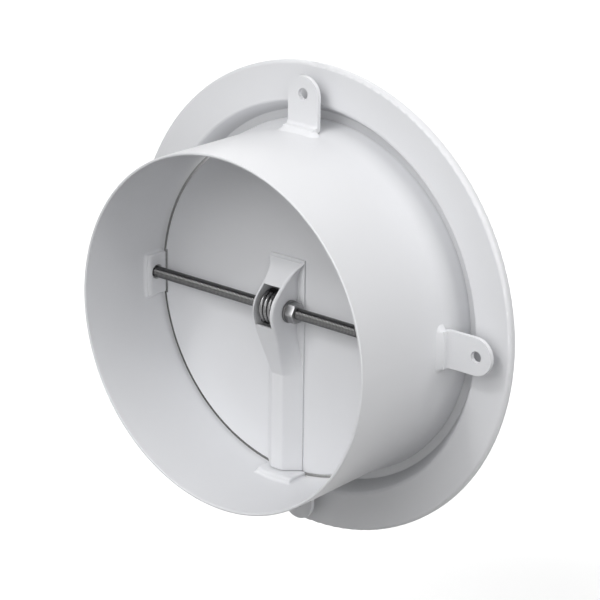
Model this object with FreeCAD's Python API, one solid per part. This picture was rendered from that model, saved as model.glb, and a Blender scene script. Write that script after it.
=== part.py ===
import FreeCAD, Part
import math
import os

# Ventilation disc valve for a round wall duct, in millimetres, +Z up.
# The duct axis is Y: the spigot's mouth points to -Y (into the duct), the room lies at +Y.
# The origin is the centre of the circle of the four fixing lug holes, on the lugs' wall side.

# Spigot, the collar that slides into the duct
collar_radius = 124.0
collar_wall = 2.0
mouth_y = -86.0
flare_rise = 3.2
flare_start_y = -3.2
flare_bend = 40.0
mouth_edge_radius = 0.9

# Flange pan, one pressed sheet with a turned rim, a stepped middle and a drawn neck
pan_sheet = 2.0
groove_width = 16.0
flange_width = 27.8
flange_y = 12.0
rim_depth = 5.5
step_depth = 12.0
step_lean = 7.0
outer_bend = 2.5
inner_bend = 0.8
neck_fit = 0.1
neck_length = 12.0
neck_mouth_bend = 3.0

# Fixing lugs at twelve, three, six and nine o'clock
lug_reach = 25.0
lug_hole_radius = 4.0
lug_hole_margin = 12.0
lug_width = 26.0
lug_sheet = 3.0
lug_foot = 5.0
lug_inner_bend = 2.5
lug_count = 4

# Threaded rod across the bore and the two pads that hold its ends
rod_radius = 4.0
rod_y = -19.0
rod_z = 2.0
rod_end_gap = 0.4
rod_chamfer = 0.8
pad_height = 31.0
pad_thickness = 4.5
pad_front = 8.5
pad_bead_radius = 3.8
pad_edge_radius = 1.4
side_pad_back = 9.2
rod_seat_clearance = 0.05
pad_hole_mouth_radius = 5.3
pad_hole_mouth_depth = 2.0

# Disc
disc_gap = 2.6
disc_thickness = 2.0
disc_behind_rod = 9.6
disc_edge_radius = 0.5
notch_clearance = 1.0
stop_gap = 0.2

# Folded bracket: base strip, two ears on the rod and the tapered post below them
bracket_x = -3.0
base_width = 31.0
base_sheet = 1.2
base_top = 35.0
bracket_sheet = 2.0
ear_span = 19.0
lobe_radius = 17.8
lobe_top_angle = 45.0
post_front = 1.1
post_front_width = 10.0
post_top = -48.0
taper_top = -15.0
post_end_gap = 0.5
fold_radius = 2.2
ramp_end_depth = 0.8
least_fold_radius = 0.3
fold_share = 0.4
ramp_flare_power = 2.2
taper_steps = 5
lobe_steps = 9
ramp_steps = 5
window_top = 18.0
window_bottom = -9.5
window_lip = 0.3
ear_running_clearance = 0.08

# Torsion spring that lies loose over the rod, between the ears
spring_outer_radius = 12.4
spring_wire_radius = 1.6
spring_forward = 4.6
spring_up = 2.2
spring_side_gap = 0.5
spring_turn_gap = 0.35
spring_steps_a_turn = 16

# Washers and nuts outside the ears
end_play = 0.15
washer_radius = 8.0
washer_thickness = 1.6
washer_clearance = 0.2
nut_flats = 13.0
nut_thickness = 6.5
nut_chamfer = 0.6
thread_clearance = 0.02

# Worked out from the sizes above
bore_radius = collar_radius - collar_wall
step_radius = collar_radius + groove_width
flange_radius = step_radius + flange_width
lug_circle_radius = collar_radius + lug_reach
disc_radius = bore_radius - disc_gap
flare_radius = collar_radius + flare_rise
flare_bore = flare_radius - collar_wall
seat_y = flange_y + step_depth
step_foot_radius = step_radius - step_lean
neck_radius = flare_bore - neck_fit
neck_taper = neck_length * flare_rise / (seat_y - flare_start_y)
pad_face = bore_radius - pad_thickness
disc_front_y = rod_y + disc_behind_rod
base_front_y = disc_front_y - base_sheet
ear_half = ear_span / 2
pad_top_z = -pad_face
X_AXIS = FreeCAD.Vector(1, 0, 0)
Y_AXIS = FreeCAD.Vector(0, 1, 0)
Z_AXIS = FreeCAD.Vector(0, 0, 1)


def at_xy(u, v):
    """A point of a section that is drawn in the XY plane."""
    return FreeCAD.Vector(u, v, 0)


def at_yz(u, v):
    """A point of a section that is drawn in the YZ plane."""
    return FreeCAD.Vector(0, u, v)


def rounded_wire(corners, place):
    """A closed wire through corners (u, v, radius), each rounded by its radius."""
    edges = []
    ends = []
    for i, (u, v, radius) in enumerate(corners):
        corner = place(u, v)
        before = place(*corners[i - 1][:2]) - corner
        after = place(*corners[(i + 1) % len(corners)][:2]) - corner
        if radius == 0:
            ends.append((corner, corner))
            continue
        before.normalize()
        after.normalize()
        half = before.getAngle(after) / 2
        middle = before + after
        middle.normalize()
        start = corner + before * (radius / math.tan(half))
        finish = corner + after * (radius / math.tan(half))
        crown = corner + middle * (radius / math.sin(half) - radius)
        edges.append(Part.Arc(start, crown, finish).toShape())
        ends.append((start, finish))
    for i, (start, finish) in enumerate(ends):
        following = ends[(i + 1) % len(ends)][0]
        if finish.distanceToPoint(following) > 1e-6:
            edges.append(Part.LineSegment(finish, following).toShape())
    return Part.Wire(Part.__sortEdges__(edges))


def turned(corners):
    """A ring turned about the duct axis from corners (radius, y, rounding)."""
    section = Part.Face(rounded_wire(corners, at_xy))
    return section.revolve(FreeCAD.Vector(), Y_AXIS, 360)


def rod_along_x(radius, x_start, x_end):
    """A round bar on the rod's axis."""
    start = FreeCAD.Vector(x_start, rod_y, rod_z)
    return Part.makeCylinder(radius, x_end - x_start, start, X_AXIS)


def box(x_min, x_max, y_min, y_max, z_min, z_max):
    """A box from its limits."""
    corner = FreeCAD.Vector(x_min, y_min, z_min)
    return Part.makeBox(x_max - x_min, y_max - y_min, z_max - z_min, corner)


def around_duct(shape, angle):
    """A copy turned about the duct axis."""
    copy = shape.copy()
    copy.rotate(FreeCAD.Vector(), Y_AXIS, angle)
    return copy


def edges_where(shape, test):
    """The edges whose middle point passes the test."""
    found = []
    for edge in shape.Edges:
        middle = edge.valueAt((edge.FirstParameter + edge.LastParameter) / 2)
        if test(middle):
            found.append(edge)
    return found


def duct_collar():
    """The spigot tube, with its end opened out to slip over the pan's neck."""
    return turned([
        (collar_radius, mouth_y, mouth_edge_radius),
        (collar_radius, flare_start_y, flare_bend),
        (flare_radius, seat_y, 0),
        (flare_bore, seat_y, 0),
        (bore_radius, flare_start_y, flare_bend + collar_wall),
        (bore_radius, mouth_y, mouth_edge_radius),
    ])


def flange_pan():
    """The pressed flange: rim, wall face, step, seat for the collar and inner neck."""
    rim_y = flange_y + rim_depth
    back_y = seat_y + pan_sheet
    return turned([
        (flange_radius, rim_y, inner_bend),
        (flange_radius, flange_y, outer_bend),
        (step_radius, flange_y, outer_bend),
        (step_foot_radius, seat_y, inner_bend),
        (neck_radius, seat_y, 0),
        (neck_radius - neck_taper, seat_y - neck_length, inner_bend),
        (neck_radius - neck_taper - pan_sheet, seat_y - neck_length, inner_bend),
        (neck_radius - pan_sheet, back_y, neck_mouth_bend),
        (step_foot_radius + pan_sheet, back_y, outer_bend),
        (step_radius + pan_sheet, flange_y + pan_sheet, inner_bend),
        (flange_radius - pan_sheet, flange_y + pan_sheet, inner_bend),
        (flange_radius - pan_sheet, rim_y, inner_bend),
    ])


def collar_outside():
    """The solid inside the collar's outer face, which shapes the lugs' feet."""
    return turned([
        (0, mouth_y, 0),
        (collar_radius, mouth_y, 0),
        (collar_radius, flare_start_y, flare_bend),
        (flare_radius, seat_y, 0),
        (0, seat_y, 0),
    ])


def fixing_lug():
    """The lug at twelve o'clock: a bent strip whose foot lies on the collar."""
    foot_top = collar_radius + lug_sheet
    end_radius = lug_width / 2
    tip = lug_circle_radius + lug_hole_margin
    end_z = tip - end_radius
    under_foot = collar_radius - lug_sheet
    section = rounded_wire([
        (-lug_foot, under_foot, 0),
        (-lug_foot, foot_top, inner_bend),
        (0, foot_top, lug_inner_bend),
        (0, tip, 0),
        (lug_sheet, tip, 0),
        (lug_sheet, collar_radius, lug_inner_bend + inner_bend),
        (0, collar_radius, 0),
        (0, under_foot, 0),
    ], at_yz)
    strip = Part.Face(section).extrude(X_AXIS * lug_width)
    strip.translate(X_AXIS * (-end_radius))
    plan = box(-end_radius, end_radius, -lug_foot, lug_sheet, 0, end_z)
    end_centre = FreeCAD.Vector(0, -lug_foot, end_z)
    plan = plan.fuse(Part.makeCylinder(end_radius, lug_foot + lug_sheet, end_centre, Y_AXIS))
    hole_centre = FreeCAD.Vector(0, -lug_foot, lug_circle_radius)
    lug = strip.common(plan)
    lug = lug.cut(Part.makeCylinder(lug_hole_radius, lug_foot + lug_sheet, hole_centre, Y_AXIS))
    return lug.cut(collar_outside()).removeSplitter()


def pad_block(back):
    """The pad at three o'clock: a bead towards the mouth, curved to the bore behind."""
    half = pad_height / 2
    section = rounded_wire([
        (pad_face, rod_y - pad_front, pad_bead_radius),
        (collar_radius, rod_y - pad_front, 0),
        (collar_radius, rod_y + back, 0),
        (pad_face, rod_y + back, pad_edge_radius),
    ], at_xy)
    block = Part.Face(section).extrude(Z_AXIS * pad_height)
    block.translate(Z_AXIS * (-half))
    rims = edges_where(block, lambda p: abs(abs(p.z) - half) < 1e-6 and abs(p.x - pad_face) < 1e-6)
    block = block.makeFillet(pad_edge_radius, rims)
    start = FreeCAD.Vector(0, mouth_y, 0)
    bore = Part.makeCylinder(bore_radius, seat_y - mouth_y, start, Y_AXIS)
    return block.common(bore)


def rod_pad():
    """A side pad with the countersunk seat of the rod's end."""
    pad = pad_block(side_pad_back)
    pad = pad.cut(rod_along_x(rod_radius + rod_seat_clearance, 0, collar_radius))
    mouth = Part.makeCone(pad_hole_mouth_radius, rod_radius + rod_seat_clearance, pad_hole_mouth_depth,
                          FreeCAD.Vector(pad_face, rod_y, rod_z), X_AXIS)
    return pad.cut(mouth)


def bottom_pad():
    """The stop pad at six o'clock, a little deeper so that the disc closes on it."""
    return around_duct(pad_block(disc_behind_rod - stop_gap), 90)


def threaded_rod():
    """The rod from pad to pad, without its fine thread."""
    half = math.sqrt(bore_radius ** 2 - (rod_z + rod_radius) ** 2) - rod_end_gap
    bar = rod_along_x(rod_radius, -half, half)
    ends = edges_where(bar, lambda p: abs(abs(p.x) - half) < 1e-6)
    return bar.makeChamfer(rod_chamfer, ends)


def valve_disc():
    """The round plate, notched beside the two rod pads."""
    plate = turned([
        (0, disc_front_y, 0),
        (disc_radius, disc_front_y, disc_edge_radius),
        (disc_radius, disc_front_y + disc_thickness, disc_edge_radius),
        (0, disc_front_y + disc_thickness, 0),
    ])
    half = pad_height / 2 + notch_clearance
    inner = pad_face - notch_clearance
    y_min = disc_front_y - disc_thickness
    y_max = disc_front_y + 2 * disc_thickness
    plate = plate.cut(box(inner, collar_radius, y_min, y_max, -half, half))
    return plate.cut(box(-collar_radius, -inner, y_min, y_max, -half, half))


def bracket_front(z):
    """How far the folded bracket reaches in front of the rod axis at height z."""
    top = math.radians(lobe_top_angle)
    top_forward = lobe_radius * math.cos(top)
    top_z = lobe_radius * math.sin(top)
    reach = math.hypot(post_front, post_top)
    bottom = math.acos(lobe_radius / reach) - math.atan2(-post_top, post_front)
    bottom_forward = lobe_radius * math.cos(bottom)
    bottom_z = lobe_radius * math.sin(bottom)
    if z > top_z:
        return top_forward - (z - top_z) * math.tan(top)
    if z > bottom_z:
        return math.sqrt(lobe_radius ** 2 - z ** 2)
    if z > post_top:
        return post_front + (bottom_forward - post_front) * (z - post_top) / (bottom_z - post_top)
    return post_front


def bracket_section(z, inset):
    """One level section of the folded bracket, open-backed when inset is the sheet."""
    taper = min(1.0, max(0.0, (taper_top - z) / (taper_top - post_top)))
    ease = taper * taper * (3 - 2 * taper)
    ramp = max(0.0, (z - window_top) / (ramp_end(ramp_end_depth) - window_top)) ** ramp_flare_power
    flare = (base_width / 2 - ear_half) * ramp
    front_half = ear_half + (post_front_width / 2 - ear_half) * ease + flare - inset
    back_half = ear_half + (base_width / 2 - ear_half) * ease + flare - inset * (1 + ease * fold_share)
    front_y = rod_y - bracket_front(z) + inset
    corner = min(max(fold_radius - inset, least_fold_radius), (base_front_y - front_y) * fold_share)
    corners = [
        (-back_half, base_front_y, 0),
        (-front_half, front_y, corner),
        (front_half, front_y, corner),
        (back_half, base_front_y, 0),
    ]
    return rounded_wire(corners, lambda u, v: FreeCAD.Vector(u, v, z))


def ramp_end(depth):
    """The height at which the ramp above the ears is this deep in front of the base."""
    top = math.radians(lobe_top_angle)
    fall = lobe_radius * math.cos(top) + base_front_y - rod_y - depth
    return lobe_radius * math.sin(top) + fall / math.tan(top)


def bracket_levels(inset):
    """The heights of the sections: the taper, the round lobe and the straight ramp."""
    taper = [post_top + (taper_top - post_top) * i / taper_steps for i in range(taper_steps)]
    low = math.degrees(math.asin(taper_top / lobe_radius))
    turn = (lobe_top_angle - low) / lobe_steps
    lobe = [lobe_radius * math.sin(math.radians(low + turn * i)) for i in range(lobe_steps + 1)]
    end = ramp_end(inset + ramp_end_depth)
    ramp = [lobe[-1] + (end - lobe[-1]) * i / ramp_steps for i in range(1, ramp_steps + 1)]
    return taper + lobe + ramp


def folded_body(inset):
    """The solid within the bracket's folded sheet, as lofted levels and the straight post."""
    levels = bracket_levels(inset)
    sections = [bracket_section(z, inset) for z in levels]
    upper = Part.makeLoft(sections, True, True)
    foot = pad_top_z + post_end_gap - rod_z
    post = Part.Face(bracket_section(post_top, inset)).extrude(FreeCAD.Vector(0, 0, foot - post_top))
    return upper.fuse(post)


def disc_bracket():
    """Base strip with the folded ears and post on it, bored for the rod."""
    foot = pad_top_z + post_end_gap - rod_z
    base = box(-base_width / 2, base_width / 2, base_front_y, disc_front_y, foot, base_top)
    shell = folded_body(0).cut(folded_body(bracket_sheet))
    gap = ear_half - bracket_sheet - window_lip
    front_y = rod_y - lobe_radius - bracket_sheet
    window = box(-gap, gap, front_y, base_front_y, window_bottom, window_top)
    bracket = base.fuse(shell.cut(window)).removeSplitter()
    bracket.translate(FreeCAD.Vector(bracket_x, 0, rod_z))
    return bracket.cut(rod_along_x(rod_radius + ear_running_clearance, -base_width, base_width))


def torsion_spring():
    """The coil that lies loose over the rod, between the ears, lofted from rings along its helix."""
    mean = spring_outer_radius - spring_wire_radius
    pitch = 2 * spring_wire_radius + spring_turn_gap
    space = ear_span - 2 * bracket_sheet - 2 * spring_side_gap - 2 * spring_wire_radius
    steps = round(spring_steps_a_turn * space / pitch)
    turn = 2 * math.pi * space / pitch / steps
    rings = []
    for i in range(steps + 1):
        out = FreeCAD.Vector(0, -math.cos(turn * i), math.sin(turn * i))
        along = FreeCAD.Vector(pitch / (2 * math.pi * mean), math.sin(turn * i), math.cos(turn * i))
        centre = FreeCAD.Vector(space * i / steps, 0, 0) + out * mean
        rings.append(Part.Wire(Part.Circle(centre, along, spring_wire_radius).toShape()))
    coil = Part.makeLoft(rings, True, False)
    coil.translate(FreeCAD.Vector(bracket_x - space / 2, rod_y - spring_forward, rod_z + spring_up))
    return coil


def washer(side):
    """A plain washer against one ear."""
    start = bracket_x + side * (ear_half + end_play)
    low = min(start, start + side * washer_thickness)
    ring = rod_along_x(washer_radius, low, low + washer_thickness)
    return ring.cut(rod_along_x(rod_radius + washer_clearance, low - washer_radius, low + washer_radius))


def hex_nut(side):
    """A hexagon nut outside a washer, with its corners chamfered."""
    start = bracket_x + side * (ear_half + end_play + washer_thickness)
    low = min(start, start + side * nut_thickness)
    corner = nut_flats / math.sqrt(3)
    points = []
    for i in range(7):
        angle = math.radians(60 * i + 30)
        points.append(FreeCAD.Vector(low, rod_y + corner * math.sin(angle), rod_z + corner * math.cos(angle)))
    prism = Part.Face(Part.makePolygon(points)).extrude(X_AXIS * nut_thickness)
    barrel = rod_along_x(corner, low, low + nut_thickness)
    rims = edges_where(barrel, lambda p: abs(math.hypot(p.y - rod_y, p.z - rod_z) - corner) < 1e-6
                       and (abs(p.x - low) < 1e-6 or abs(p.x - low - nut_thickness) < 1e-6))
    nut = prism.common(barrel.makeChamfer(nut_chamfer, rims))
    return nut.cut(rod_along_x(rod_radius + thread_clearance, low - nut_flats, low + nut_flats))


def build():
    """Every piece of the valve by its name."""
    pieces = {
        "flange_pan": flange_pan(),
        "duct_collar": duct_collar(),
        "rod_pad_right": rod_pad(),
        "rod_pad_left": rod_pad().mirror(FreeCAD.Vector(), X_AXIS),
        "bottom_pad": bottom_pad(),
        "threaded_rod": threaded_rod(),
        "valve_disc": valve_disc(),
        "disc_bracket": disc_bracket(),
        "torsion_spring": torsion_spring(),
        "washer_left": washer(-1),
        "washer_right": washer(1),
        "nut_left": hex_nut(-1),
        "nut_right": hex_nut(1),
    }
    lug = fixing_lug()
    for i, place in enumerate(("top", "right", "bottom", "left")):
        pieces["lug_" + place] = around_duct(lug, 360 / lug_count * i)
    return pieces


def write(pieces):
    """One STEP file for each piece."""
    os.makedirs("parts", exist_ok=True)
    for name, shape in pieces.items():
        shape.exportStep("parts/" + name + ".step")
        print(name, shape.isValid(), len(shape.Solids), round(shape.Volume, 1))


write(build())
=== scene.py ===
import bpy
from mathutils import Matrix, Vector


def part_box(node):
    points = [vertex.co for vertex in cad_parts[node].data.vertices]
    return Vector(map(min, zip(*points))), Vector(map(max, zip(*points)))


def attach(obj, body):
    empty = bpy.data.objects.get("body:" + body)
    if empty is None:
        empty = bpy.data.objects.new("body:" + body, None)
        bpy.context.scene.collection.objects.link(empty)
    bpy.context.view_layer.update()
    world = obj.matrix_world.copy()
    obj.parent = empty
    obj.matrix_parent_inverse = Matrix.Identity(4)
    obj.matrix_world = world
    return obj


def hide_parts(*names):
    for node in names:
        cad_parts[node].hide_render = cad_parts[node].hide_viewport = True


bl_info = {
    "name": "Ventilation disc valve",
    "version": (1, 0, 0),
    "blender": (4, 5, 0),
    "location": "View3D > Sidebar > Disc Valve",
    "description": "Finishes a ventilation disc valve: sheet, rod, nuts, spring, floor, lamps and camera",
    "category": "Add Mesh",
}

import math

import bmesh
import bpy
from bpy.props import FloatProperty, FloatVectorProperty, IntProperty, PointerProperty
from mathutils import Matrix, Vector

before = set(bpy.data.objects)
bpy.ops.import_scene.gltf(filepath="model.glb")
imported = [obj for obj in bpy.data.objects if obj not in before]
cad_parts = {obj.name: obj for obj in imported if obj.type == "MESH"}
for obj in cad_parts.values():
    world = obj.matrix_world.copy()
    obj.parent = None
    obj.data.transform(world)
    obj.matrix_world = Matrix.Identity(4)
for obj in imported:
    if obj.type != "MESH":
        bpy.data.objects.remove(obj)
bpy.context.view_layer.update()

MM = 0.001
IMAGE_PIXELS = 600
SENSOR_MM = 36.0
CLIP_NEAR, CLIP_FAR = 0.05, 60.0
FULL_TURN = 2 * math.pi
MERGE_DISTANCE = 1e-6
SMOOTH_ANGLE = math.radians(32)
WELD_SMOOTH = math.radians(60)
THREAD_SMOOTH = math.radians(100)

# Paint: how open a corner is where its painted shade is full and where it ends, mottling and dust nibs, and how
# far the roughness varies
CORNER_SHADE_OPEN = (0.35, 0.8)
CLOUDS_PER_METRE = 9.0
MOTTLE_TINT = 0.94
MOTTLE_SHARE = 0.35
PAINT_SMOOTHER, PAINT_ROUGHER = 0.04, 0.06
NIBS_PER_METRE = 120.0
NIB_WIDTH = 0.07
NIB_HEIGHT = 1.2

# Steel: fine lines, stains, and how far the roughness varies
LINES_PER_METRE = 900.0
STAINS_PER_METRE = 140.0
STEEL_SMOOTHER, STEEL_ROUGHER = 0.08, 0.1

# Painted shade in the slot round the disc, near-black paint where only shade falls: how far behind the disc's
# front it starts, how near its radius it is full and where it ends, and how far it looks for other faces. The
# radius for paint without it is one that no piece reaches.
SLOT_SHADE_BEHIND = 1.1 * MM
SLOT_SHADE_BAND = (0.9 * MM, 1.2 * MM)
SLOT_SHADE_REACH = 8 * MM
SLOT_SHADE_OPEN = (0.82, 0.95)
SLOT_SHADE_COLOUR = (0.012, 0.012, 0.012)
NO_SLOT_SHADE = 1.0

FLOOR_SIZE = 24.0
FLOOR_UNEVEN = 0.99
FLOOR_ROUGHNESS = 0.9
FLOOR_SHINE = 0.1
ROOM_LIT_FROM = (0.25, -0.6, 0.9)
LAMPS = (
    # name, energy, spread, azimuth and elevation of the lamp as the camera's are measured, in degrees
    ("key_lamp", 1.1, 45, -5, 37),
    ("side_lamp", 1.25, 45, 95, 35),
    ("low_lamp", 0.66, 45, 45, 8),
    ("top_lamp", 0.2, 40, -30, 65),
    ("back_lamp", 0.6, 60, 205, 35),
    ("glint_lamp", 0.4, 6, -15, 50),
)

ROD_LOW, ROD_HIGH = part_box("threaded_rod")
ROD_RADIUS = (ROD_HIGH.z - ROD_LOW.z) / 2
ROD_Y = (ROD_LOW.y + ROD_HIGH.y) / 2
ROD_Z = (ROD_LOW.z + ROD_HIGH.z) / 2
SPRING_LOW, SPRING_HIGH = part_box("torsion_spring")
NUT_LOW, NUT_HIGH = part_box("nut_right")
WASHER_LOW, WASHER_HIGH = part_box("washer_right")
FLANGE_LOW, FLANGE_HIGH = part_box("flange_pan")
DISC_LOW, DISC_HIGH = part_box("valve_disc")
DISC_RADIUS = (DISC_HIGH.z - DISC_LOW.z) / 2
DISC_FRONT_Y = DISC_LOW.y
LUG_LOW, LUG_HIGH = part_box("lug_top")
PAD_LOW, PAD_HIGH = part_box("rod_pad_right")
STEP_LOW, STEP_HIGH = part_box("bottom_pad")

# Sizes of the collar and the lugs that the boxes above don't give; the fillets start inside the foot's rounding
BORE_RADIUS = 122.0 * MM
COLLAR_RADIUS = 124.0 * MM
LUG_SHEET = 3.0 * MM
FOOT_EDGE = 0.9 * MM
FOOT_BEND = 0.8 * MM

# Fillets: how far they stop before a pad's back, the round at a corner, their steps along one side, how deep
# their root is, and how high and hollow a lug's ramp is
FILLET_SHORT = 1.5 * MM
FILLET_CORNER = 0.8 * MM
FILLET_STEPS = 6
FILLET_SLOPE_STEPS = 5
FILLET_SUNK = 0.5 * MM
RAMP_OVER_SHEET = 0.1 * MM
RAMP_HOLLOW = 0.1

# Thread: flank and crest as shares of the pitch, and where the paler crests start below the rod's face; their
# paler colour is partly wear and partly a painted highlight
THREAD_FLANK = 0.32
THREAD_CREST = 0.2
THREAD_SIDES = 20
ROD_END_CUT = 0.4 * MM
CREST_BELOW = 0.08 * MM
# Colour of the crests: partly wear, partly a painted highlight standing in for glints on the thread
CREST_WEAR_AND_HIGHLIGHT_COLOUR = (0.3, 0.3, 0.3, 1.0)

NUT_CHAMFER = 0.6 * MM
NUT_EDGE = 0.12 * MM
NUT_BITE = 0.1 * MM
WASHER_PLAY = 0.2 * MM
WASHER_EDGE = 0.25 * MM
SPRING_TURNS = 3.04
SPRING_START = math.radians(150)
WIRE_SIDES = 14

FINISHES = (
    # material, CAD nodes, tint, added roughness, painted corner shade, radius of the painted slot shade, reach
    # of the painted corner shade as a multiple
    ("flange_paint", ("flange_pan",), 1.0, 0.0, 0.68, NO_SLOT_SHADE, 2.5),
    ("collar_paint", ("duct_collar",), 1.0, -0.04, 0.6, BORE_RADIUS),
    ("lug_paint", ("lug_top", "lug_right", "lug_bottom", "lug_left"), 1.0, 0.0, 0.85),
    ("pad_paint", ("rod_pad_left", "rod_pad_right", "bottom_pad"), 1.0, 0.0, 0.85),
    ("disc_paint", ("valve_disc",), 0.98, 0.02, 0.8, DISC_RADIUS),
    ("bracket_paint", ("disc_bracket",), 1.0, 0.0, 0.8),
)
STEELS = {
    # material: colour, stain, share stained, roughness, stretch of the fine lines
    "rod_steel": ((0.06, 0.06, 0.061), (0.035, 0.035, 0.035), 0.4, 0.2, (1.0, 6.0, 6.0)),
    "nut_steel": ((0.42, 0.42, 0.425), (0.26, 0.26, 0.26), 0.5, 0.34, (1.0, 1.0, 1.0)),
    "washer_steel": ((0.24, 0.24, 0.243), (0.12, 0.12, 0.12), 0.5, 0.34, (1.0, 1.0, 1.0)),
    "spring_steel": ((0.20, 0.20, 0.203), (0.1, 0.1, 0.1), 0.5, 0.26, (1.0, 1.0, 1.0)),
}


class PaintSettings(bpy.types.PropertyGroup):
    """Colour and skin of the painted sheet metal."""

    colour: FloatVectorProperty(
        name="Paint colour", description="Colour of the white paint", subtype="COLOR",
        size=3, min=0.0, max=1.0, default=(0.794, 0.800, 0.819),
    )
    roughness: FloatProperty(
        name="Roughness", description="Roughness of the paint where it is clean",
        min=0.0, max=1.0, default=0.38,
    )
    # Reach of the painted shade: the paint darkens where other faces come this near, standing in for shade in
    # corners
    corner_reach: FloatProperty(
        name="Corner reach", description="How near another face must be to darken the paint",
        subtype="DISTANCE", unit="LENGTH", default=6 * MM,
    )
    peel_size: FloatProperty(
        name="Peel size", description="Width of one ripple of the sprayed skin",
        subtype="DISTANCE", unit="LENGTH", default=2.4 * MM,
    )
    peel_depth: FloatProperty(
        name="Peel depth", description="Height of the sprayed skin's ripples",
        subtype="DISTANCE", unit="LENGTH", default=0.012 * MM,
    )


class HardwareSettings(bpy.types.PropertyGroup):
    """Sizes of the thread, the spring's wire, the weld fillets and lug ramps, and the steps of one coil turn.
    """

    thread_pitch: FloatProperty(
        name="Thread pitch", description="Pitch of the rod's coarse thread",
        subtype="DISTANCE", unit="LENGTH", default=1.25 * MM,
    )
    thread_depth: FloatProperty(
        name="Thread depth", description="Depth of the rod's thread",
        subtype="DISTANCE", unit="LENGTH", default=0.55 * MM,
    )
    wire_radius: FloatProperty(
        name="Wire radius", description="Half the thickness of the spring's wire",
        subtype="DISTANCE", unit="LENGTH", default=1.6 * MM,
    )
    fillet_size: FloatProperty(
        name="Fillet size", description="Size of the painted weld fillets",
        subtype="DISTANCE", unit="LENGTH", default=2.2 * MM,
    )
    ramp_length: FloatProperty(
        name="Ramp length", description="How far the paint and weld run out from a lug's foot",
        subtype="DISTANCE", unit="LENGTH", default=5 * MM,
    )
    coil_steps: IntProperty(
        name="Coil steps", description="Sides of one turn of the spring", min=12, default=64,
    )


class StageSettings(bpy.types.PropertyGroup):
    """Floor, lamps and camera."""

    azimuth: FloatProperty(
        name="Azimuth", description="How far the camera stands round to the right",
        subtype="ANGLE", unit="ROTATION", default=math.radians(40.07),
    )
    elevation: FloatProperty(
        name="Elevation", description="How far the camera looks down",
        subtype="ANGLE", unit="ROTATION", default=math.radians(19.58),
    )
    roll: FloatProperty(
        name="Roll", description="How far the camera is turned about its own axis",
        subtype="ANGLE", unit="ROTATION", default=math.radians(0.78),
    )
    distance: FloatProperty(
        name="Distance", description="From the camera to the flange's centre",
        subtype="DISTANCE", unit="LENGTH", default=1.488,
    )
    focal_pixels: FloatProperty(
        name="Focal length in pixels", description="Focal length in pixels of the square picture",
        default=2150.0,
    )
    offset_right: FloatProperty(
        name="Offset right", default=11.25,
        description="Pixels from the picture's centre to the flange's centre, to the right",
    )
    offset_down: FloatProperty(
        name="Offset down", default=0.52,
        description="Pixels from the picture's centre to the flange's centre, downwards",
    )
    floor_drop: FloatProperty(
        name="Floor drop", description="From the flange's lowest point down to the floor",
        subtype="DISTANCE", unit="LENGTH", default=0.16,
    )
    floor_colour: FloatVectorProperty(
        name="Floor colour", description="Colour of the pale floor", subtype="COLOR",
        size=3, min=0.0, max=1.0, default=(0.96, 0.96, 0.96),
    )
    room_light: FloatProperty(
        name="Room light", description="Strength of the soft light from the room's lit side",
        min=0.0, default=0.34,
    )
    floor_bounce: FloatProperty(
        name="Floor bounce", description="Share of light that the floor throws back at the valve",
        min=0.0, max=1.0, default=0.1,
    )
    floor_lift: FloatProperty(
        name="Floor lift", description="How far the seen floor is lifted towards white",
        min=0.0, max=1.0, default=0.3,
    )


class ValveSettings(bpy.types.PropertyGroup):
    """All settings of the valve."""

    paint: PointerProperty(type=PaintSettings)
    hardware: PointerProperty(type=HardwareSettings)
    stage: PointerProperty(type=StageSettings)


def settings():
    """The valve's settings on this scene."""
    return bpy.context.scene.disc_valve


def deselect():
    """Leaves edit mode and deselects every object."""
    if bpy.context.mode != "OBJECT":
        bpy.ops.object.mode_set(mode="OBJECT")
    bpy.ops.object.select_all(action="DESELECT")


def pick(piece):
    """Makes a piece the only selected one and the active one."""
    deselect()
    piece.select_set(True)
    bpy.context.view_layer.objects.active = piece


def start_piece(name):
    """Names the primitive that was just added, and enters its edit mode."""
    piece = bpy.context.object
    piece.name = name
    piece.data.name = name
    if bpy.context.mode != "EDIT_MESH":
        bpy.ops.object.mode_set(mode="EDIT")
    return piece


def select_where(piece, kind, test):
    """Selects the edges or faces whose middle passes the test."""
    modes = {"edges": "EDGE", "faces": "FACE"}
    bpy.ops.mesh.select_mode(type=modes[kind])
    bpy.ops.mesh.select_all(action="DESELECT")
    mesh = bmesh.from_edit_mesh(piece.data)
    found = False
    for item in getattr(mesh, kind):
        middle = sum((v.co for v in item.verts), Vector()) / len(item.verts)
        if test(middle):
            item.select_set(True)
            found = True
    mesh.select_flush_mode()
    bmesh.update_edit_mesh(piece.data)
    if not found:
        raise RuntimeError(f"{piece.name}: nothing to select among its {kind}")


def finish_piece(piece, body, node, material, angle=SMOOTH_ANGLE):
    """Puts a piece's place into its mesh, smooths it, paints it and sets it on its body."""
    pick(piece)
    bpy.ops.object.transform_apply(location=True, rotation=True, scale=True)
    bpy.ops.object.shade_smooth_by_angle(angle=angle, keep_sharp_edges=False)
    piece.data.materials.clear()
    piece.data.materials.append(material)
    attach(piece, body)
    if node:
        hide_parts(node)


def copy_piece(piece, name, turn=(0.0, 0.0, 0.0), shift=(0.0, 0.0, 0.0)):
    """A turned and shifted copy of an unfinished piece, with a mesh of its own."""
    pick(piece)
    bpy.ops.object.duplicate(linked=False)
    twin = bpy.context.object
    twin.name = name
    twin.data.name = name
    twin.rotation_euler = turn
    twin.location = shift
    return twin


def cylinder_along_x(name, sides, radius, width, middle):
    """A cylinder along X, in edit mode."""
    deselect()
    bpy.ops.mesh.primitive_cylinder_add(
        vertices=sides, radius=radius, depth=width, location=middle, rotation=(0, math.radians(90), 0))
    return start_piece(name)


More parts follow.
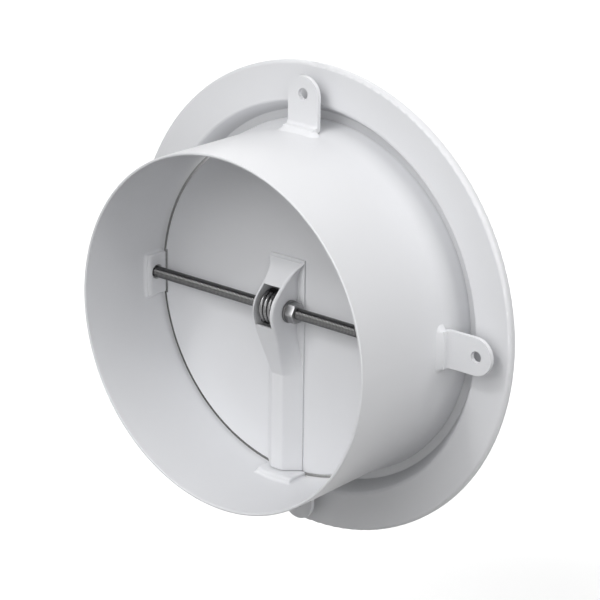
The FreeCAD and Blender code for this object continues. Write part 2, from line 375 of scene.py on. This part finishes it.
def apply_modifier(piece, kind, **values):
    """Adds a modifier to a piece, sets its values and applies it."""
    pick(piece)
    modifier = piece.modifiers.new(kind.lower(), kind)
    for label, value in values.items():
        setattr(modifier, label, value)
    bpy.ops.object.modifier_apply(modifier=modifier.name)


def merge_and_face_outwards():
    """Merges doubles and turns the faces of the piece in edit mode outwards."""
    bpy.ops.mesh.select_all(action="SELECT")
    bpy.ops.mesh.remove_doubles(threshold=MERGE_DISTANCE)
    bpy.ops.mesh.normals_make_consistent(inside=False)


def new_group(name, inputs, outputs):
    """A shader node group with its inputs as (name, type, default) and outputs as (name, type)."""
    group = bpy.data.node_groups.new(name, "ShaderNodeTree")
    for label, kind, default in inputs:
        group.interface.new_socket(label, in_out="INPUT", socket_type=kind).default_value = default
    for label, kind in outputs:
        group.interface.new_socket(label, in_out="OUTPUT", socket_type=kind)
    return group, group.nodes.new("NodeGroupInput"), group.nodes.new("NodeGroupOutput")


def new_node(tree, kind, **values):
    """A node with its properties set."""
    node = tree.nodes.new(kind)
    for label, value in values.items():
        setattr(node, label, value)
    return node


def feed(tree, node, values):
    """Links or sets a node's first inputs, in order."""
    for socket, value in zip(node.inputs, values):
        if isinstance(value, bpy.types.NodeSocket):
            tree.links.new(value, socket)
        else:
            socket.default_value = value
    return node


def calculate(tree, operation, *values):
    """A calculation with numbers, each a socket or a number."""
    return feed(tree, new_node(tree, "ShaderNodeMath", operation=operation), values).outputs[0]


def combine(tree, operation, *vectors):
    """A calculation with vectors that gives a vector."""
    return feed(tree, new_node(tree, "ShaderNodeVectorMath", operation=operation), vectors).outputs["Vector"]


def measure(tree, operation, *vectors):
    """A calculation with vectors that gives a number."""
    return feed(tree, new_node(tree, "ShaderNodeVectorMath", operation=operation), vectors).outputs["Value"]


def between(tree, factor, low, high):
    """A number between two numbers."""
    node = new_node(tree, "ShaderNodeMix", data_type="FLOAT")
    for label, value in (("Factor", factor), ("A", low), ("B", high)):
        tree.links.new(value, node.inputs[label])
    return node.outputs["Result"]


def bumped(tree, distance, height):
    """The normal of a surface with a height on it."""
    node = new_node(tree, "ShaderNodeBump")
    tree.links.new(distance, node.inputs["Distance"])
    tree.links.new(height, node.inputs["Height"])
    return node.outputs["Normal"]


def noise(tree, vector, scale, detail=2.0, roughness=0.5):
    """A noise texture on a vector; its scale is a socket or a number."""
    node = feed(tree, new_node(tree, "ShaderNodeTexNoise"), (vector,))
    if isinstance(scale, bpy.types.NodeSocket):
        tree.links.new(scale, node.inputs["Scale"])
    else:
        node.inputs["Scale"].default_value = scale
    node.inputs["Detail"].default_value = detail
    node.inputs["Roughness"].default_value = roughness
    return node.outputs["Fac"]


def remap(tree, value, low, high, to_low, to_high):
    """Maps a value from one range to another, clamped."""
    node = new_node(tree, "ShaderNodeMapRange")
    tree.links.new(value, node.inputs["Value"])
    for label, number in (("From Min", low), ("From Max", high), ("To Min", to_low), ("To Max", to_high)):
        node.inputs[label].default_value = number
    return node.outputs["Result"]


def mix_colour(tree, factor, first, second):
    """Mixes two colours by a factor; each is a socket or a colour."""
    node = new_node(tree, "ShaderNodeMix", data_type="RGBA")
    tree.links.new(factor, node.inputs["Factor"])
    for socket, value in ((node.inputs["A"], first), (node.inputs["B"], second)):
        if isinstance(value, bpy.types.NodeSocket):
            tree.links.new(value, socket)
        else:
            socket.default_value = (*value, 1.0)
    return node.outputs["Result"]


def sprayed_skin_group():
    """Sprayed paint: orange peel, faint mottling, a few dust nibs, and painted shade in corners and in the slot
    round the disc.
    """
    group, entry, leave = new_group(
        "sprayed_skin",
        [
            ("Colour", "NodeSocketColor", (0.8, 0.8, 0.8, 1.0)),
            ("Shade", "NodeSocketColor", (0.7, 0.7, 0.7, 1.0)),
            ("Ripples per metre", "NodeSocketFloat", 400.0),
            ("Ripple height", "NodeSocketFloat", 0.00001),
            ("Roughness low", "NodeSocketFloat", 0.3),
            ("Roughness high", "NodeSocketFloat", 0.4),
            ("Corner reach", "NodeSocketFloat", 0.006),
            ("Corner colour", "NodeSocketColor", (0.5, 0.5, 0.5, 1.0)),
            ("Slot radius", "NodeSocketFloat", 1.0),
            ("Slot front", "NodeSocketFloat", 1.0),
        ],
        [("Colour", "NodeSocketColor"), ("Roughness", "NodeSocketFloat"), ("Normal", "NodeSocketVector")],
    )
    place = new_node(group, "ShaderNodeTexCoord").outputs["Object"]
    given = entry.outputs

    # Painted shade: the paint darkens towards its corner shade colour where other faces are near, standing in
    # for shade in corners and crevices
    corner_occlusion = new_node(group, "ShaderNodeAmbientOcclusion", samples=12)
    group.links.new(given["Corner reach"], corner_occlusion.inputs["Distance"])
    corner = remap(group, corner_occlusion.outputs["AO"], *CORNER_SHADE_OPEN, 1.0, 0.0)

    # Faint mottling at random, a tone of the paint itself
    cloud = noise(group, place, CLOUDS_PER_METRE, 3.0, 0.55)
    shade = remap(group, cloud, 0.35, 0.7, 0.0, MOTTLE_SHARE)
    wave = remap(group, cloud, 0.3, 0.7, 0.0, 1.0)

    peel = noise(group, place, given["Ripples per metre"], 1.5)
    nibs = new_node(group, "ShaderNodeTexVoronoi", feature="F1")
    group.links.new(place, nibs.inputs["Vector"])
    nibs.inputs["Scale"].default_value = NIBS_PER_METRE
    nib = remap(group, nibs.outputs["Distance"], 0.0, NIB_WIDTH, 1.0, 0.0)
    rare = remap(group, noise(group, place, 37.0, 0.0), 0.62, 0.66, 0.0, 1.0)
    height = calculate(group, "MULTIPLY_ADD", calculate(group, "MULTIPLY", nib, rare), NIB_HEIGHT, peel)

    # Painted shade in the slot: near-black paint on walls behind the disc's front near the given radius, where
    # other faces hem them in and only shade falls
    slot_occlusion = new_node(group, "ShaderNodeAmbientOcclusion", samples=8)
    slot_occlusion.inputs["Distance"].default_value = SLOT_SHADE_REACH
    from_axis = measure(group, "LENGTH", combine(group, "MULTIPLY", place, (1.0, 0.0, 1.0)))
    from_edge = calculate(group, "ABSOLUTE", calculate(group, "SUBTRACT", from_axis, given["Slot radius"]))
    near_edge = remap(group, from_edge, *SLOT_SHADE_BAND, 1.0, 0.0)
    depth = measure(group, "DOT_PRODUCT", place, (0.0, 1.0, 0.0))
    behind = calculate(group, "GREATER_THAN", depth, given["Slot front"])
    in_painted_slot = calculate(group, "MULTIPLY", near_edge, behind)
    slot_occluded = remap(group, slot_occlusion.outputs["AO"], *SLOT_SHADE_OPEN, 1.0, 0.0)
    painted_slot_shade = calculate(group, "MULTIPLY", in_painted_slot, slot_occluded)

    clean = mix_colour(group, shade, given["Colour"], given["Shade"])
    corner_shaded = mix_colour(group, corner, clean, given["Corner colour"])
    for label, value in (
        ("Colour", mix_colour(group, painted_slot_shade, corner_shaded, SLOT_SHADE_COLOUR)),
        ("Roughness", between(group, wave, given["Roughness low"], given["Roughness high"])),
        ("Normal", bumped(group, given["Ripple height"], height)),
    ):
        group.links.new(value, leave.inputs[label])


def worked_steel_group():
    """Rolled or turned steel: fine lines, stains, and a paler colour on thread crests, partly wear and partly a
    painted highlight.
    """
    group, entry, leave = new_group(
        "worked_steel",
        [
            ("Colour", "NodeSocketColor", (0.3, 0.3, 0.3, 1.0)),
            ("Stain", "NodeSocketColor", (0.1, 0.1, 0.1, 1.0)),
            ("Line stretch", "NodeSocketVector", (1.0, 1.0, 1.0)),
            ("Stain amount", "NodeSocketFloat", 0.5),
            ("Roughness low", "NodeSocketFloat", 0.25),
            ("Roughness high", "NodeSocketFloat", 0.45),
            ("Mark height", "NodeSocketFloat", 0.000005),
            ("Axis", "NodeSocketVector", (0.0, 0.0, 0.0)),
            ("Crest radius", "NodeSocketFloat", 1.0),
            ("Crest colour", "NodeSocketColor", (0.5, 0.5, 0.5, 1.0)),
        ],
        [("Colour", "NodeSocketColor"), ("Roughness", "NodeSocketFloat"), ("Normal", "NodeSocketVector")],
    )
    place = new_node(group, "ShaderNodeTexCoord").outputs["Object"]
    given = entry.outputs

    lines = noise(group, combine(group, "MULTIPLY", place, given["Line stretch"]), LINES_PER_METRE, 3.0, 0.6)
    cloud = noise(group, place, STAINS_PER_METRE, 4.0, 0.6)
    stain = calculate(group, "MULTIPLY", remap(group, cloud, 0.4, 0.65, 0.0, 1.0), given["Stain amount"])
    aged = mix_colour(group, stain, given["Colour"], given["Stain"])

    # Paler crests beyond the crest radius: partly wear, partly a painted highlight
    from_axis = combine(group, "MULTIPLY", combine(group, "SUBTRACT", place, given["Axis"]), (0.0, 1.0, 1.0))
    crest_wear_and_highlight = calculate(group, "GREATER_THAN", measure(group, "LENGTH", from_axis), given["Crest radius"])
    for label, value in (
        ("Colour", mix_colour(group, crest_wear_and_highlight, aged, given["Crest colour"])),
        ("Roughness", between(group, lines, given["Roughness low"], given["Roughness high"])),
        ("Normal", bumped(group, given["Mark height"], lines)),
    ):
        group.links.new(value, leave.inputs[label])


def surface_material(name, group, values, metallic):
    """A material whose colour, roughness and normal come from a surface group."""
    material = bpy.data.materials.new(name)
    material.use_nodes = True
    tree = material.node_tree
    shader = tree.nodes["Principled BSDF"]
    surface = new_node(tree, "ShaderNodeGroup", node_tree=group)
    for label, value in values.items():
        surface.inputs[label].default_value = value
    tree.links.new(surface.outputs["Colour"], shader.inputs["Base Color"])
    tree.links.new(surface.outputs["Roughness"], shader.inputs["Roughness"])
    tree.links.new(surface.outputs["Normal"], shader.inputs["Normal"])
    shader.inputs["Metallic"].default_value = metallic
    return material


def paint_material(name, tint, rough, corner, slot_shade_radius=NO_SLOT_SHADE, reach=1.0):
    """White paint on sheet; tint darkens it, rough dulls it, corner and reach set the shade painted into its
    corners, and the slot radius places the painted shade in the slot.
    """
    paint = settings().paint
    colour = [c * tint for c in paint.colour]
    # The mottle colour, a random tone of the paint itself
    shade = [c * MOTTLE_TINT for c in colour]
    values = {
        "Colour": (*colour, 1.0),
        "Shade": (*shade, 1.0),
        "Ripples per metre": 1.0 / paint.peel_size,
        "Ripple height": paint.peel_depth,
        "Roughness low": paint.roughness + rough - PAINT_SMOOTHER,
        "Roughness high": paint.roughness + rough + PAINT_ROUGHER,
        # Reach and colour of the painted corner shade, then where the painted slot shade lies
        "Corner reach": paint.corner_reach * reach,
        "Corner colour": (*[c * corner for c in colour], 1.0),
        "Slot radius": slot_shade_radius,
        "Slot front": DISC_FRONT_Y + SLOT_SHADE_BEHIND,
    }
    return surface_material(name, bpy.data.node_groups["sprayed_skin"], values, 0.0)


def steel_material(name, crest=None):
    """Bare steel with stains, as the table says, and with paler thread crests, partly wear and partly a painted
    highlight, where they are given.
    """
    colour, stain, amount, rough, stretch = STEELS[name]
    values = {
        "Colour": (*colour, 1.0),
        "Stain": (*stain, 1.0),
        "Line stretch": stretch,
        "Stain amount": amount,
        "Roughness low": rough - STEEL_SMOOTHER,
        "Roughness high": rough + STEEL_ROUGHER,
        **(crest or {}),
    }
    return surface_material(name, bpy.data.node_groups["worked_steel"], values, 1.0)


class VALVE_OT_surface_groups(bpy.types.Operator):
    """Make the node groups that the materials share"""

    bl_idname = "disc_valve.surface_groups"
    bl_label = "Surface groups"

    def execute(self, context):
        sprayed_skin_group()
        worked_steel_group()
        return {"FINISHED"}


class VALVE_OT_painted_sheet(bpy.types.Operator):
    """Paint the collar, flange, lugs, pads, disc and bracket"""

    bl_idname = "disc_valve.painted_sheet"
    bl_label = "Painted sheet"

    def execute(self, context):
        for name, nodes, *finish in FINISHES:
            material = paint_material(name, *finish)
            for node in nodes:
                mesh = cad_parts[node].data
                mesh.materials.clear()
                mesh.materials.append(material)
        return {"FINISHED"}


def fillet_run(name, stations, profile):
    """A fillet whose profile of (out, up) runs along stations of foot point, way up and way out."""
    deselect()
    bpy.ops.mesh.primitive_circle_add(vertices=len(profile), radius=MM, location=(0, 0, 0), fill_type="NGON")
    run = start_piece(name)
    bpy.ops.mesh.select_all(action="SELECT")
    for number, (foot, up, out) in enumerate(stations):
        if number:
            bpy.ops.mesh.extrude_region_move(TRANSFORM_OT_translate={"value": (0, 0, MM)})
        mesh = bmesh.from_edit_mesh(run.data)
        ring = sorted((v for v in mesh.verts if v.select), key=lambda v: v.index)
        for vert, (away, high) in zip(ring, profile):
            vert.co = foot + out * away + up * high
        bmesh.update_edit_mesh(run.data)
    merge_and_face_outwards()
    deselect()
    return run


def fillet_profile(away, high, hollow):
    """A hidden root, then the seen slope: straight with hollow 0, a quarter round with hollow 1."""
    steps = FILLET_SLOPE_STEPS
    section = [(-FILLET_SUNK, -FILLET_SUNK), (away, -FILLET_SUNK)]
    for step in range(steps + 1):
        turn = math.radians(90) * step / steps
        straight = 1 - step / steps
        section.append((
            away * (hollow * (1 - math.sin(turn)) + (1 - hollow) * straight),
            high * (hollow * (1 - math.cos(turn)) + (1 - hollow) * (1 - straight)),
        ))
    section.append((-FILLET_SUNK, high))
    return section


def bore_path(half, front, back, corner, steps):
    """The outline of a pad at twelve o'clock: across, along, and the way out across and along."""
    path = [(half, back + (front + corner - back) * k / steps, 1.0, 0.0) for k in range(steps)]
    for k in range(steps + 1):
        turn = math.radians(90) * k / steps
        path.append((half - corner + corner * math.cos(turn), front + corner - corner * math.sin(turn),
                     math.cos(turn), -math.sin(turn)))
    across = [((half - corner) * (1 - 2 * k / steps), front, 0.0, -1.0) for k in range(1, steps)]
    mirrored = [(-u, v, -a, b) for u, v, a, b in reversed(path)]
    return path + across + mirrored


class VALVE_OT_weld_fillets(bpy.types.Operator):
    """Run painted weld fillets round the pads inside the collar and the lugs' feet outside it"""

    bl_idname = "disc_valve.weld_fillets"
    bl_label = "Weld fillets"

    def execute(self, context):
        # The fillets' paint carries the same painted corner shade as the other paint
        material = paint_material("weld_paint", 1.0, 0.06, 0.85)
        hardware = settings().hardware
        rounded = fillet_profile(hardware.fillet_size, hardware.fillet_size, 1.0)
        ramped = fillet_profile(hardware.ramp_length, LUG_SHEET + RAMP_OVER_SHEET, RAMP_HOLLOW)
        pad_half = (PAD_HIGH.z - PAD_LOW.z) / 2
        step_half = (STEP_HIGH.x - STEP_LOW.x) / 2
        lug_half = (LUG_HIGH.x - LUG_LOW.x) / 2
        beside_pad = self.run("pad_weld_right", BORE_RADIUS, -1, pad_half, PAD_LOW.y, PAD_HIGH.y, 90, rounded)
        below = self.run("pad_weld_bottom", BORE_RADIUS, -1, step_half, STEP_LOW.y, STEP_HIGH.y, 180, rounded)
        on_top = self.run(
            "lug_weld_top", COLLAR_RADIUS, 1, lug_half - FOOT_EDGE, LUG_LOW.y + FOOT_BEND, 0.0, 0, ramped)
        pads = [beside_pad, copy_piece(beside_pad, "pad_weld_left", (0, math.radians(180), 0)), below]
        lugs = [on_top]
        for name, angle in (("right", 90), ("bottom", 180), ("left", -90)):
            lugs.append(copy_piece(on_top, "lug_weld_" + name, (0, math.radians(angle), 0)))
        for slot, pieces in (("collar_paint", pads), ("lug_paint", lugs)):
            for piece in pieces:
                finish_piece(piece, "housing", None, material, WELD_SMOOTH)
        return {"FINISHED"}

    def run(self, name, radius, inwards, half, front, back, angle, profile):
        """One fillet round the front and the sides of a foot on the collar."""
        turn = Matrix.Rotation(math.radians(angle), 3, "Y")
        stations = []
        path = bore_path(half, front, back - FILLET_SHORT, FILLET_CORNER, FILLET_STEPS)
        for across, along, out_across, out_along in path:
            height = math.sqrt(radius ** 2 - across ** 2)
            up = Vector((across, 0, height)).normalized() * inwards
            side = Vector((height, 0, -across)).normalized()
            out = (side * out_across + Vector((0, out_along, 0))).normalized()
            stations.append((turn @ Vector((across, along, height)), turn @ up, turn @ out))
        return fillet_run(name, stations, profile)


class VALVE_OT_threaded_rod(bpy.types.Operator):
    """Cut the thread along the rod"""

    bl_idname = "disc_valve.threaded_rod"
    bl_label = "Threaded rod"

    def execute(self, context):
        hardware = settings().hardware
        length = ROD_HIGH.x - ROD_LOW.x
        pitch = hardware.thread_pitch
        root = ROD_RADIUS - hardware.thread_depth
        turns = math.ceil(length / pitch) + 2
        start_x = ROD_LOW.x - pitch
        deselect()
        bpy.ops.mesh.primitive_plane_add(size=pitch, location=(start_x, ROD_Y, ROD_Z + root))
        rod = start_piece("rod_with_thread")
        bpy.ops.mesh.merge(type="CENTER")
        flank = pitch * THREAD_FLANK
        crest = pitch * THREAD_CREST
        steps = (
            (flank, hardware.thread_depth), (crest, 0.0),
            (flank, -hardware.thread_depth), (pitch - 2 * flank - crest, 0.0),
        )
        for along, out in steps:
            bpy.ops.mesh.extrude_region_move(TRANSFORM_OT_translate={"value": (along, 0, out)})
        pick(rod)
        bpy.ops.object.transform_apply(location=True)
        bpy.context.scene.cursor.location = (0, ROD_Y, ROD_Z)
        bpy.ops.object.origin_set(type="ORIGIN_CURSOR")
        apply_modifier(
            rod, "SCREW", axis="X", screw_offset=pitch, iterations=turns, steps=THREAD_SIDES,
            render_steps=THREAD_SIDES, use_merge_vertices=True, merge_threshold=1e-5)
        bpy.ops.object.transform_apply(location=True)
        bpy.context.scene.cursor.location = (0, 0, 0)
        bpy.ops.object.mode_set(mode="EDIT")
        merge_and_face_outwards()
        for x, sign in ((ROD_LOW.x + ROD_END_CUT, -1), (ROD_HIGH.x - ROD_END_CUT, 1)):
            bpy.ops.mesh.select_all(action="SELECT")
            bpy.ops.mesh.bisect(plane_co=(x, 0, 0), plane_no=(sign, 0, 0), clear_outer=True, use_fill=True)
        merge_and_face_outwards()
        # The rod's crests get a paler colour, partly wear and partly a painted highlight
        steel = steel_material("rod_steel", {
            "Axis": (0.0, ROD_Y, ROD_Z),
            "Crest radius": ROD_RADIUS - CREST_BELOW,
            "Crest colour": CREST_WEAR_AND_HIGHLIGHT_COLOUR,
        })
        finish_piece(rod, "housing", "threaded_rod", steel, THREAD_SMOOTH)
        return {"FINISHED"}


def hex_nut(name, low_x, high_x, flats, hole):
    """A hexagon nut with turned chamfers and a plain hole for the rod."""
    corner_radius = flats / math.cos(math.radians(30)) / 2
    width = high_x - low_x
    middle = ((low_x + high_x) / 2, ROD_Y, ROD_Z)
    nut = cylinder_along_x(name, 6, corner_radius, width, middle)
    pick(nut)
    bpy.ops.object.transform_apply(location=True, rotation=True)
    barrel = cylinder_along_x(name + "_barrel", 72, corner_radius + 0.01 * MM, width, middle)
    select_where(barrel, "faces", lambda p: abs(abs(p.z) - width / 2) < MERGE_DISTANCE)
    bpy.ops.mesh.bevel(offset=NUT_CHAMFER, offset_type="OFFSET", segments=1, affect="EDGES")
    drill = cylinder_along_x(name + "_drill", 48, hole, width * 2, middle)
    for tool, operation in ((barrel, "INTERSECT"), (drill, "DIFFERENCE")):
        apply_modifier(nut, "BOOLEAN", operation=operation, object=tool)
        bpy.data.objects.remove(tool)
    apply_modifier(
        nut, "BEVEL", width=NUT_EDGE, segments=2, limit_method="ANGLE", angle_limit=math.radians(25))
    return nut


class VALVE_OT_nuts_and_washers(bpy.types.Operator):
    """Make the nuts and washers outside the bracket's ears"""

    bl_idname = "disc_valve.nuts_and_washers"
    bl_label = "Nuts and washers"

    def execute(self, context):
        nut_steel = steel_material("nut_steel")
        washer_steel = steel_material("washer_steel")
        nut = hex_nut("hex_nut_right", NUT_LOW.x, NUT_HIGH.x, NUT_HIGH.z - NUT_LOW.z, ROD_RADIUS - NUT_BITE)
        ring = self.washer("washer_ring_right")
        nut_shift = (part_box("nut_left")[0].x - NUT_LOW.x, 0, 0)
        ring_shift = (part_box("washer_left")[0].x - WASHER_LOW.x, 0, 0)
        nut_twin = copy_piece(nut, "hex_nut_left", shift=nut_shift)
        ring_twin = copy_piece(ring, "washer_ring_left", shift=ring_shift)
        for piece, node, steel in (
            (nut, "nut_right", nut_steel), (nut_twin, "nut_left", nut_steel),
            (ring, "washer_right", washer_steel), (ring_twin, "washer_left", washer_steel),
        ):
            finish_piece(piece, "housing", node, steel)
        return {"FINISHED"}

    def washer(self, name):
        """A punched washer with rounded edges."""
        radius = (WASHER_HIGH.z - WASHER_LOW.z) / 2
        middle = ((WASHER_LOW.x + WASHER_HIGH.x) / 2, ROD_Y, ROD_Z)
        ring = cylinder_along_x(name, 96, radius, WASHER_HIGH.x - WASHER_LOW.x, middle)
        select_where(ring, "faces", lambda p: math.hypot(p.x, p.y) < radius * 0.5)
        bpy.ops.mesh.inset(thickness=radius - ROD_RADIUS - WASHER_PLAY, depth=0)
        bpy.ops.mesh.bridge_edge_loops()
        select_where(ring, "edges", lambda p: math.hypot(p.x, p.y) > radius * 0.98 and abs(p.z) > 0.1 * MM)
        bpy.ops.mesh.bevel(offset=WASHER_EDGE, segments=3, affect="EDGES")
        bpy.ops.mesh.select_all(action="SELECT")
        bpy.ops.mesh.normals_make_consistent(inside=False)
        pick(ring)
        bpy.ops.object.transform_apply(location=True, rotation=True)
        return ring


class VALVE_OT_torsion_spring(bpy.types.Operator):
    """Wind the spring between the ears"""

    bl_idname = "disc_valve.torsion_spring"
    bl_label = "Torsion spring"

    def execute(self, context):
        hardware = settings().hardware
        wire = hardware.wire_radius
        radius = (SPRING_HIGH.z - SPRING_LOW.z) / 2 - wire
        centre_y = (SPRING_LOW.y + SPRING_HIGH.y) / 2
        centre_z = (SPRING_LOW.z + SPRING_HIGH.z) / 2
        width = SPRING_HIGH.x - SPRING_LOW.x - 2 * wire
        deselect()
        start = (
            SPRING_LOW.x + wire,
            centre_y - radius * math.sin(SPRING_START),
            centre_z + radius * math.cos(SPRING_START),
        )
        bpy.ops.mesh.primitive_circle_add(
            vertices=WIRE_SIDES, radius=wire, location=start,
            rotation=(math.radians(90) + SPRING_START, 0, 0))
        spring = start_piece("spring_coil")
        pick(spring)
        bpy.ops.object.transform_apply(location=True, rotation=True)
        bpy.ops.object.mode_set(mode="EDIT")
        bpy.ops.mesh.select_all(action="SELECT")
        steps = int(hardware.coil_steps * SPRING_TURNS)
        turn = FULL_TURN * SPRING_TURNS / steps
        bpy.ops.mesh.edge_face_add()
        for step in range(steps):
            bpy.ops.mesh.extrude_region_move(
                TRANSFORM_OT_translate={"value": (width / steps, 0, 0)})
            bpy.ops.transform.rotate(
                value=-turn, orient_axis="X", center_override=(0, centre_y, centre_z))
        merge_and_face_outwards()
        finish_piece(spring, "flap", "torsion_spring", steel_material("spring_steel"))
        return {"FINISHED"}


def seen_rays(tree):
    """One for camera, glossy and transmission rays, none for the rays that carry light."""
    rays = new_node(tree, "ShaderNodeLightPath").outputs
    seen = calculate(tree, "MAXIMUM", rays["Is Camera Ray"], rays["Is Glossy Ray"])
    return calculate(tree, "MAXIMUM", seen, rays["Is Transmission Ray"])


def floor_material(name, colour, bounce, lift):
    """The floor's pale, faintly uneven finish, which throws less light back than it shows."""
    material = bpy.data.materials.new(name)
    material.use_nodes = True
    tree = material.node_tree
    shader = tree.nodes["Principled BSDF"]
    seen = seen_rays(tree)
    place = new_node(tree, "ShaderNodeTexCoord").outputs["Object"]
    cloud = remap(tree, noise(tree, place, 0.8, 2.0), 0.3, 0.7, 0.0, 1.0)
    darker = [c * FLOOR_UNEVEN for c in colour]
    shown = mix_colour(tree, cloud, list(colour), darker)
    tree.links.new(mix_colour(tree, seen, [bounce] * 3, shown), shader.inputs["Base Color"])
    shader.inputs["Roughness"].default_value = FLOOR_ROUGHNESS
    shader.inputs["Specular IOR Level"].default_value = FLOOR_SHINE
    shader.inputs["Emission Color"].default_value = (1.0, 1.0, 1.0, 1.0)
    tree.links.new(remap(tree, seen, 0.0, 1.0, 0.0, lift), shader.inputs["Emission Strength"])
    return material


class VALVE_OT_stage(bpy.types.Operator):
    """Lay the floor and set the lamps, the world and the camera"""

    bl_idname = "disc_valve.stage"
    bl_label = "Stage"

    def execute(self, context):
        stage = settings().stage
        self.floor(stage)
        self.world(stage)
        self.lamps()
        self.camera(stage)
        context.scene.view_settings.view_transform = "Standard"
        return {"FINISHED"}

    def floor(self, stage):
        deselect()
        bpy.ops.mesh.primitive_plane_add(size=FLOOR_SIZE, location=(0, 0, FLANGE_LOW.z - stage.floor_drop))
        floor = start_piece("floor")
        deselect()
        floor.data.materials.append(
            floor_material("pale_floor", stage.floor_colour, stage.floor_bounce, stage.floor_lift))

    def world(self, stage):
        world = bpy.data.worlds.new("soft_room")
        world.use_nodes = True
        bpy.context.scene.world = world
        tree = world.node_tree
        room = tree.nodes["Background"]
        room.inputs["Color"].default_value = (1.0, 1.0, 1.0, 1.0)
        sky = new_node(tree, "ShaderNodeTexCoord").outputs["Generated"]
        towards = measure(tree, "DOT_PRODUCT", sky, Vector(ROOM_LIT_FROM).normalized())
        lit = remap(tree, towards, -0.1, 0.9, 0.0, stage.room_light)
        tree.links.new(lit, room.inputs["Strength"])
        white = new_node(tree, "ShaderNodeBackground")
        white.inputs["Color"].default_value = (1.0, 1.0, 1.0, 1.0)
        white.inputs["Strength"].default_value = 1.0
        mix = new_node(tree, "ShaderNodeMixShader")
        tree.links.new(seen_rays(tree), mix.inputs["Fac"])
        tree.links.new(room.outputs[0], mix.inputs[1])
        tree.links.new(white.outputs[0], mix.inputs[2])
        tree.links.new(mix.outputs[0], tree.nodes["World Output"].inputs["Surface"])

    def lamps(self):
        for name, energy, spread, azimuth, elevation in LAMPS:
            turn, rise = math.radians(azimuth), math.radians(elevation)
            level = Vector((math.sin(turn), -math.cos(turn), 0)) * math.cos(rise)
            towards = level + Vector((0, 0, math.sin(rise)))
            deselect()
            bpy.ops.object.light_add(type="SUN", rotation=towards.to_track_quat("Z", "Y").to_euler())
            lamp = bpy.context.object
            lamp.name = name
            lamp.data.energy = energy
            lamp.data.angle = math.radians(spread)

    def camera(self, stage):
        az, el = stage.azimuth, stage.elevation
        forward = Vector((-math.sin(az) * math.cos(el), math.cos(az) * math.cos(el), -math.sin(el)))
        level = forward.cross(Vector((0, 0, 1))).normalized()
        above = level.cross(forward)
        right = math.cos(stage.roll) * level + math.sin(stage.roll) * above
        up = -math.sin(stage.roll) * level + math.cos(stage.roll) * above
        target = Vector((0, FLANGE_LOW.y, 0))
        shift = stage.distance / stage.focal_pixels
        place = target - forward * stage.distance
        place = place - right * (stage.offset_right * shift) + up * (stage.offset_down * shift)
        deselect()
        bpy.ops.object.camera_add(location=place)
        camera = bpy.context.object
        camera.name = "photo_camera"
        turn = Matrix((right, up, -forward)).transposed()
        camera.rotation_euler = turn.to_euler()
        camera.data.sensor_width = SENSOR_MM
        camera.data.lens = SENSOR_MM * stage.focal_pixels / IMAGE_PIXELS
        camera.data.clip_start = CLIP_NEAR
        camera.data.clip_end = CLIP_FAR
        bpy.context.scene.camera = camera


class VALVE_PT_sidebar(bpy.types.Panel):
    """Lists the valve's pieces and sizes"""

    bl_label = "Ventilation disc valve"
    bl_idname = "VALVE_PT_sidebar"
    bl_space_type = "VIEW_3D"
    bl_region_type = "UI"
    bl_category = "Disc Valve"

    def draw(self, context):
        layout = self.layout
        for operator in OPERATORS:
            layout.operator(operator.bl_idname)
        valve = context.scene.disc_valve
        for group in (valve.paint, valve.hardware, valve.stage):
            box = layout.box()
            for label in group.bl_rna.properties.keys():
                if label not in ("rna_type", "name"):
                    box.prop(group, label)


OPERATORS = (
    VALVE_OT_surface_groups,
    VALVE_OT_painted_sheet,
    VALVE_OT_weld_fillets,
    VALVE_OT_threaded_rod,
    VALVE_OT_nuts_and_washers,
    VALVE_OT_torsion_spring,
    VALVE_OT_stage,
)
GROUPS = (PaintSettings, HardwareSettings, StageSettings, ValveSettings)


def register():
    for item in (*GROUPS, *OPERATORS, VALVE_PT_sidebar):
        bpy.utils.register_class(item)
    bpy.types.Scene.disc_valve = PointerProperty(type=ValveSettings)


def unregister():
    del bpy.types.Scene.disc_valve
    for item in reversed((*GROUPS, *OPERATORS, VALVE_PT_sidebar)):
        bpy.utils.unregister_class(item)


def main():
    register()
    bpy.ops.disc_valve.surface_groups()
    bpy.ops.disc_valve.painted_sheet()
    bpy.ops.disc_valve.weld_fillets()
    bpy.ops.disc_valve.threaded_rod()
    bpy.ops.disc_valve.nuts_and_washers()
    bpy.ops.disc_valve.torsion_spring()
    bpy.ops.disc_valve.stage()


if __name__ == "__main__":
    main()
